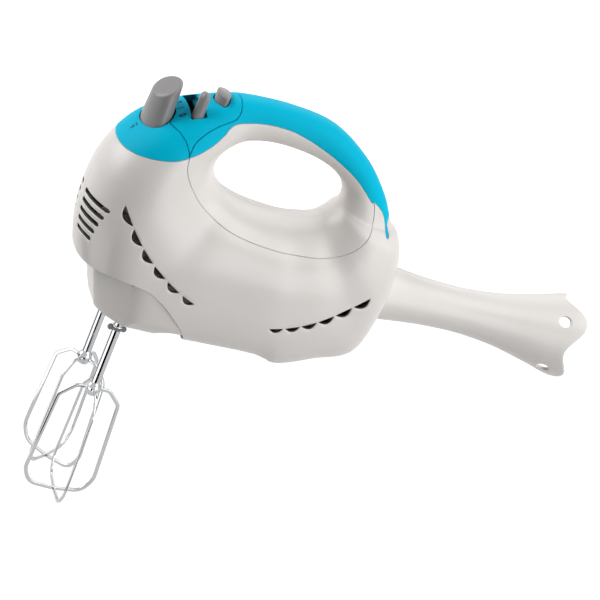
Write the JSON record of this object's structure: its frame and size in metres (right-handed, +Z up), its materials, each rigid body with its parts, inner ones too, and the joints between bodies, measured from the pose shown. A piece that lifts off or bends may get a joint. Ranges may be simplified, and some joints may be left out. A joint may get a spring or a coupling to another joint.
{
  "type": "hand mixer",
  "caption": "Hand-held kitchen mixer with a closed loop handle, twin wire beaters below the nose, an ejector button, a speed lever and a blending rod fitted at the rear.",
  "frame": {"origin": "on the neck's flat lower face, midway between the two beater sockets", "axes": "+Z up along the beater shafts, +X to the rear along the motor shaft and the blending rod, -Y to the user's left"},
  "size_m": [0.3575, 0.0829, 0.2925],
  "materials": {
    "shell_white": "smooth moulded warm white with a soft gloss",
    "cover_blue": "smooth cyan blue with a satin gloss",
    "control_grey": "mid grey with a satin sheen",
    "beater_chrome": "bright polished wire and tube",
    "steel": "plain machined steel",
    "winding_copper": "varnished copper wire and copper segments",
    "bearing_bronze": "sintered bronze",
    "gear_nylon": "natural nylon",
    "carbon_black": "pressed carbon",
    "switch_black": "black switch bodies",
    "gland_rubber": "soft black gland"
  },
  "bodies": {
    "mixer_body": {"housing_left": "shell_white", "housing_right": "shell_white", "handle_left": "shell_white", "handle_right": "shell_white", "nose_cover": "cover_blue", "grip_strip": "cover_blue", "control_panel": "cover_blue", "gear_neck": "shell_white", "spindle_bush_left": "bearing_bronze", "spindle_bush_right": "bearing_bronze", "gear_cover": "gear_nylon", "gear_floor": "gear_nylon", "ejector_spring": "steel", "stator_core": "steel", "field_coil_upper": "winding_copper", "field_coil_lower": "winding_copper", "front_bracket": "gear_nylon", "rear_bracket": "gear_nylon", "front_bearing": "bearing_bronze", "rear_bearing": "bearing_bronze", "brush_holder_left": "gear_nylon", "brush_holder_right": "gear_nylon", "carbon_brush_left": "carbon_black", "carbon_brush_right": "carbon_black", "switch_tray": "gear_nylon", "speed_switch": "switch_black", "turbo_switch": "switch_black", "outlet_ring": "shell_white", "cord_gland": "gland_rubber"},
    "rotor": {"motor_shaft": "steel", "armature_core": "steel", "winding_front": "winding_copper", "winding_rear": "winding_copper", "commutator": "winding_copper", "cooling_fan": "gear_nylon", "drive_socket": "gear_nylon"},
    "left_spindle": {"worm_wheel_left": "gear_nylon"},
    "right_spindle": {"worm_wheel_right": "gear_nylon"},
    "ejector": {"eject_button": "control_grey", "ejector_fork": "gear_nylon"},
    "left_pin": {"ejector_pin_left": "steel"},
    "right_pin": {"ejector_pin_right": "steel"},
    "left_beater": {"beater_left": "beater_chrome", "left_beater_collar": "control_grey"},
    "right_beater": {"beater_right": "beater_chrome"},
    "lever": {"speed_lever": "control_grey"},
    "turbo": {"turbo_button": "control_grey"},
    "rod": {"rod_shell": "shell_white", "rod_bush": "bearing_bronze"},
    "rod_drive": {"rod_drive_shaft": "steel", "blade": "steel"}
  },
  "joints": [
    {"name": "motor_spin", "type": "hinge", "parent": "mixer_body", "child": "rotor", "pos_m": [0, 0, 0.05], "axis": [1, 0, 0], "continuous": true},
    {"name": "left_spindle_spin", "type": "hinge", "parent": "mixer_body", "child": "left_spindle", "pos_m": [0, -0.019, 0.05], "axis": [0, 0, 1], "continuous": true},
    {"name": "right_spindle_spin", "type": "hinge", "parent": "mixer_body", "child": "right_spindle", "pos_m": [0, 0.019, 0.05], "axis": [0, 0, 1], "continuous": true},
    {"name": "eject_press", "type": "slide", "parent": "mixer_body", "child": "ejector", "axis": [0, 0, -1], "range_m": [0, 0.007], "stiffness_N_per_m": 500, "springref_m": -0.005, "deforming": ["ejector_spring"]},
    {"name": "left_pin_push", "type": "slide", "parent": "left_spindle", "child": "left_pin", "axis": [0, 0, -1], "range_m": [0, 0.007]},
    {"name": "right_pin_push", "type": "slide", "parent": "right_spindle", "child": "right_pin", "axis": [0, 0, -1], "range_m": [0, 0.007]},
    {"name": "left_beater_pull", "type": "slide", "parent": "left_pin", "child": "left_beater", "axis": [0, 0, -1], "range_m": [0, 0.055]},
    {"name": "right_beater_pull", "type": "slide", "parent": "right_pin", "child": "right_beater", "axis": [0, 0, -1], "range_m": [0, 0.055]},
    {"name": "speed_select", "type": "slide", "parent": "mixer_body", "child": "lever", "axis": [0, 1, 0], "range_m": [0, 0.026]},
    {"name": "turbo_press", "type": "slide", "parent": "mixer_body", "child": "turbo", "axis": [0, 0, -1], "range_m": [0, 0.0025], "stiffness_N_per_m": 400, "springref_m": -0.002},
    {"name": "rod_pull", "type": "slide", "parent": "mixer_body", "child": "rod", "axis": [1, 0, 0], "range_m": [0, 0.035]},
    {"name": "rod_drive_spin", "type": "hinge", "parent": "rod", "child": "rod_drive", "pos_m": [0.2, 0, 0.05], "axis": [1, 0, 0], "continuous": true}
  ],
  "couplings": [
    {"joint": "left_spindle_spin", "follows": "motor_spin", "ratio": 0.066667},
    {"joint": "right_spindle_spin", "follows": "motor_spin", "ratio": -0.066667},
    {"joint": "rod_drive_spin", "follows": "motor_spin", "ratio": 1},
    {"joint": "left_pin_push", "follows": "eject_press", "ratio": 1},
    {"joint": "right_pin_push", "follows": "eject_press", "ratio": 1}
  ]
}
